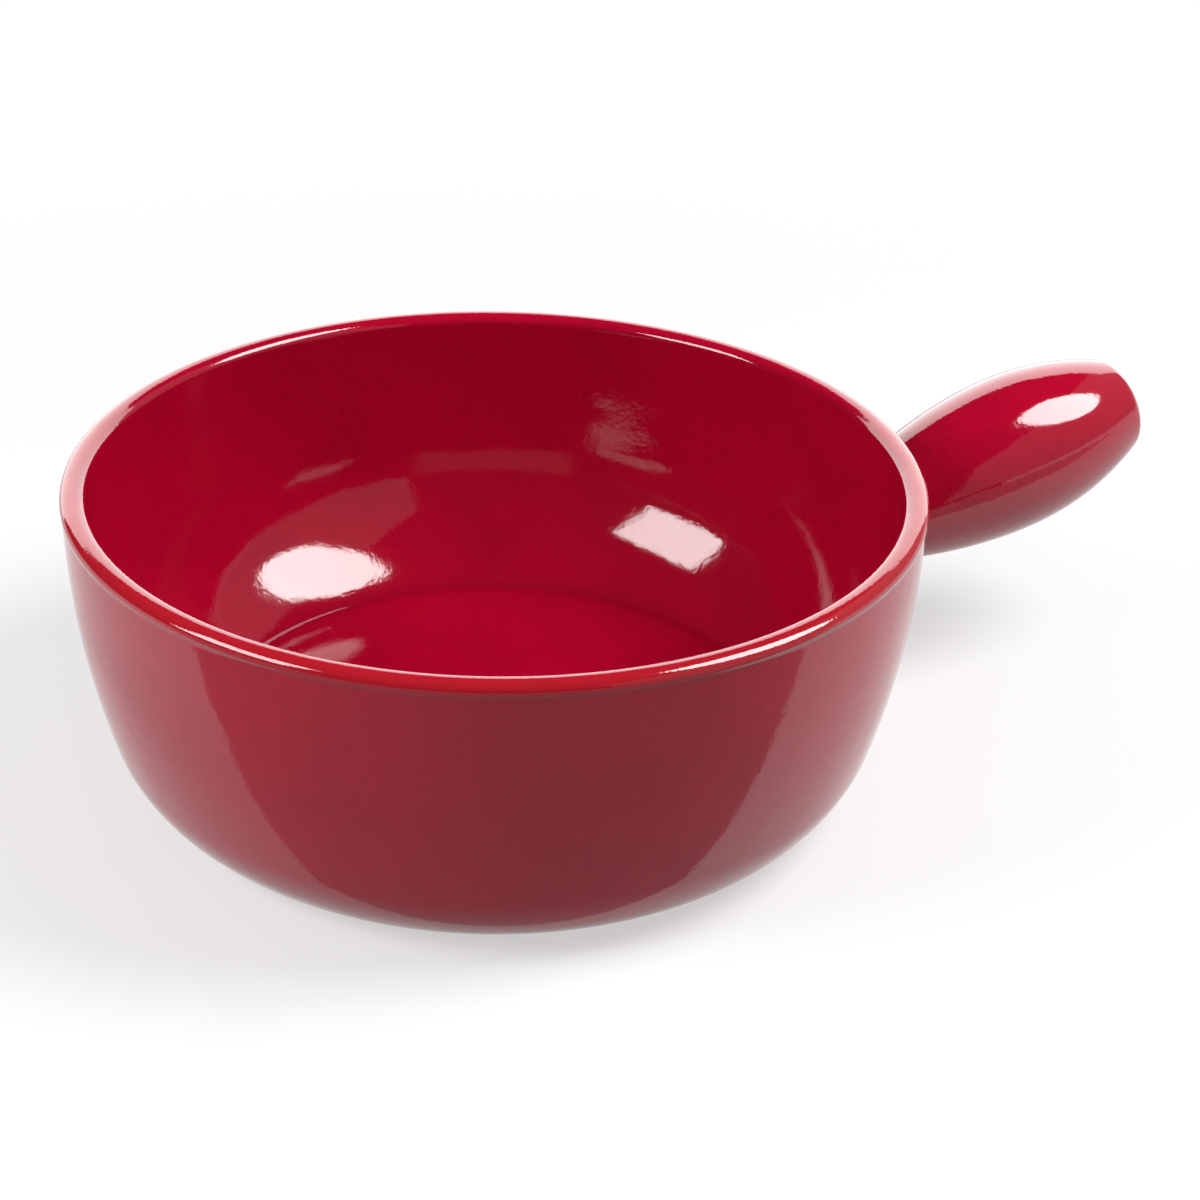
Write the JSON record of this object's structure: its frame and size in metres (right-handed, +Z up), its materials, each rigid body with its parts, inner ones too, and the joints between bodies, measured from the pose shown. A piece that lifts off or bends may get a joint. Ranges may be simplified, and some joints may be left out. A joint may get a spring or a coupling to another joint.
{
  "type": "fondue pot",
  "caption": "Round glazed stoneware fondue pot with a thick flat base, a beaded rim and one hollow upswept barrel handle, for melting cheese on a stove or burner.",
  "frame": {"origin": "middle of the flat base, on the surface that the pot stands on", "axes": "+Z up along the bowl's axis, +X from the bowl's axis towards the handle"},
  "size_m": [0.3258, 0.23, 0.088],
  "materials": {
    "bowl_glaze": "glossy cherry-red glaze with fine dark specks, breaking to orange-red on the rim, over stoneware left bare under the base",
    "handle_glaze": "the same glossy cherry-red glaze",
    "seam_glaze": "slip joint under the same red glaze"
  },
  "bodies": {
    "root": {"bowl": "bowl_glaze", "handle": "handle_glaze", "slip_seam": "seam_glaze"}
  },
  "joints": []
}
